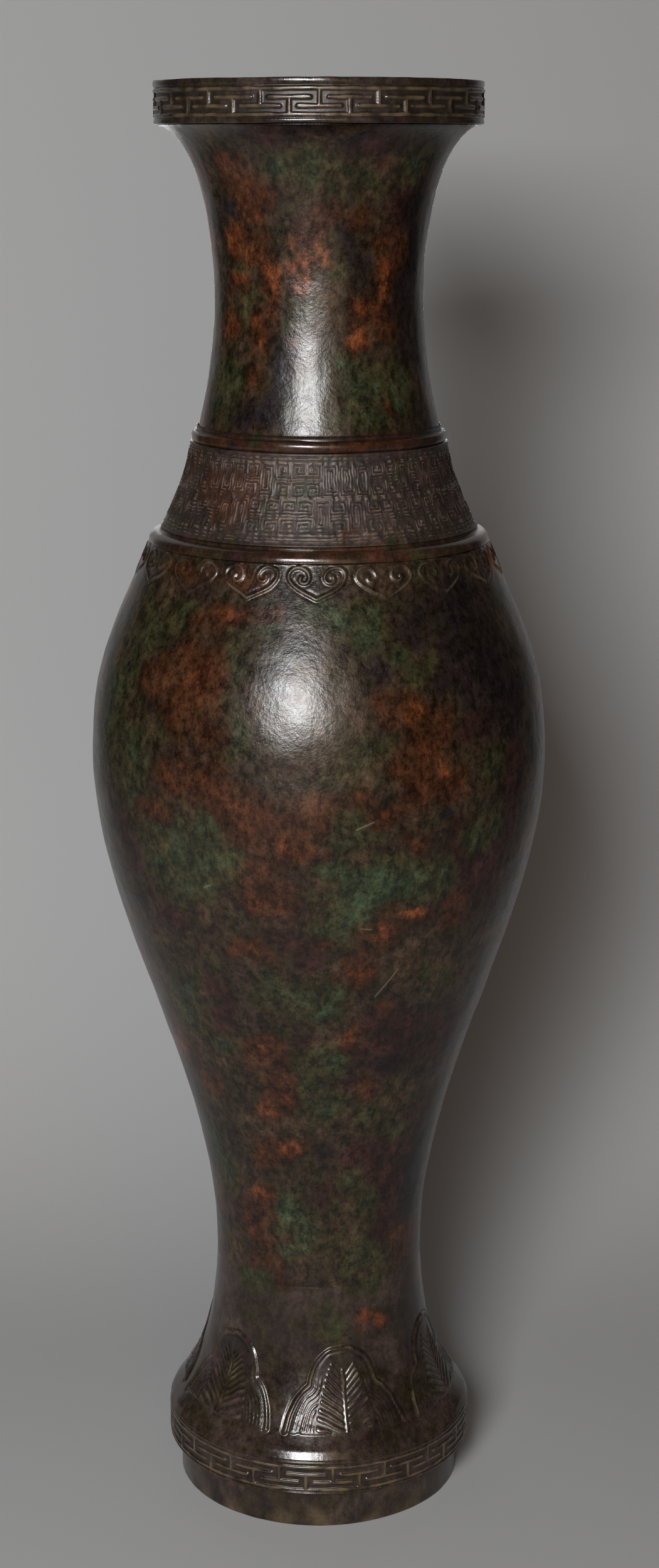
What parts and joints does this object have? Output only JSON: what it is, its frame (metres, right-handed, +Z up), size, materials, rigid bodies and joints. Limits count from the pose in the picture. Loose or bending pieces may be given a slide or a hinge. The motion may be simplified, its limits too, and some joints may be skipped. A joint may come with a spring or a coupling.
{
  "type": "bronze vase",
  "caption": "Tall cast bronze vase with a flared mouth, waisted neck, swelling body and flaring foot, banded with frets, ruyi heads and lappets; it holds cut flowers and water.",
  "frame": {"origin": "centre of the standing face, under the foot ring", "axes": "+Z up along the axis of the vase, -Y towards the viewer"},
  "size_m": [0.1428, 0.1428, 0.45],
  "materials": {
    "patinated_bronze": "dark brown bronze with mottled green and russet patina, semi-gloss",
    "diapered_bronze": "grey-brown bronze with fine relief lines worn light",
    "fretted_bronze": "dark brown bronze with worn tan relief lines",
    "worn_bronze": "reddish bronze, rubbed on the crest",
    "plain_bronze": "dull cast bronze, not rubbed"
  },
  "bodies": {
    "root": {"mouth_ring": "fretted_bronze", "neck": "patinated_bronze", "neck_ring": "worn_bronze", "collar": "diapered_bronze", "shoulder_ring": "worn_bronze", "body": "patinated_bronze", "foot": "fretted_bronze", "foot_ring": "fretted_bronze", "base_plate": "plain_bronze"}
  },
  "joints": []
}
